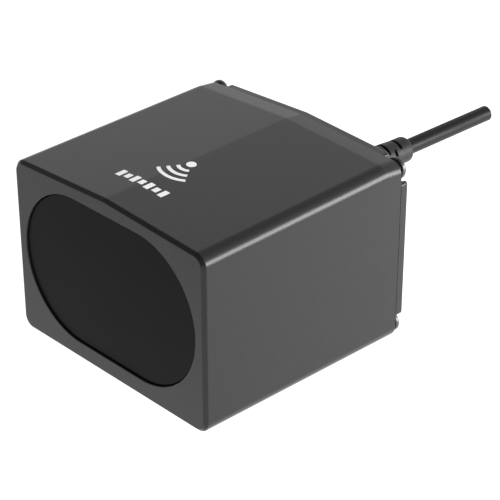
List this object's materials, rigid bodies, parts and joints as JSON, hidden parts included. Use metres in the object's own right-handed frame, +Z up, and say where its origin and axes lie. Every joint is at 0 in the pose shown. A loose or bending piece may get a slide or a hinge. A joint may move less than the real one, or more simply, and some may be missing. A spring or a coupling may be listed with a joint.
{
  "type": "lidar scanner module",
  "caption": "Boxed single-point lidar module: gabled grey metal housing, obround dark optical window, screwed rear cover, slotted strain relief and short round lead.",
  "frame": {"origin": "centre of the mounting face under the housing, at the middle of the housing's width and depth", "axes": "+Z up from the mounting face, -Y out of the optical window, +Y the way the lead leaves, +X to the right seen from the front"},
  "size_m": [0.044, 0.0746, 0.0324],
  "materials": {
    "housing": "fine-grained matt dark grey anodised coating",
    "cover": "fine-grained matt dark grey anodised coating",
    "window": "polished infrared-pass black",
    "seal": "soft black",
    "black_plastic": "moulded matt black",
    "lens": "polished, coated",
    "ring": "turned and blackened",
    "filter": "polished interference filter",
    "foam": "closed-cell foam",
    "board": "green solder mask",
    "gilt_can": "gold-plated can",
    "tinned": "tin-plated",
    "ceramic": "ceramic",
    "chip": "moulded epoxy",
    "ferrite": "sintered ferrite",
    "capacitor_can": "drawn can",
    "ivory": "moulded nylon",
    "brass": "machined",
    "screw": "blackened steel",
    "relief_rubber": "moulded soft PVC",
    "lead_jacket": "matt PVC jacket"
  },
  "bodies": {
    "root": {"bias_inductor": "ferrite", "board_link": "black_plastic", "board_screw_1": "screw", "board_screw_2": "screw", "board_screw_3": "screw", "board_screw_4": "screw", "clock_crystal": "tinned", "cover_screw_1": "screw", "cover_screw_2": "screw", "cover_screw_3": "screw", "cover_screw_4": "screw", "detector_filter": "filter", "emitter_board": "board", "emitter_header": "black_plastic", "emitter_lens": "lens", "emitter_retaining_ring": "ring", "filter_capacitor_1": "capacitor_can", "filter_capacitor_2": "capacitor_can", "front_housing": "housing", "front_spacer_1": "brass", "front_spacer_2": "brass", "front_spacer_3": "brass", "front_spacer_4": "brass", "gland_nut": "brass", "inner_lead": "lead_jacket", "laser_diode": "gilt_can", "lead_header": "ivory", "lead_plug": "ivory", "main_board": "board", "main_processor": "chip", "optical_baffle": "foam", "optical_window": "window", "optics_bench": "black_plastic", "photodiode": "gilt_can", "power_board": "board", "power_inductor": "ferrite", "pulse_capacitor": "ceramic", "rear_cover": "cover", "rear_gasket": "seal", "rear_spacer_1": "brass", "rear_spacer_2": "brass", "rear_spacer_3": "brass", "rear_spacer_4": "brass", "receiver_board": "board", "receiver_header": "black_plastic", "receiver_lens": "lens", "receiver_retaining_ring": "ring", "receiver_shield": "tinned", "signal_lead": "lead_jacket", "strain_relief": "relief_rubber", "timing_chip": "chip", "window_gasket": "seal"}
  },
  "joints": []
}
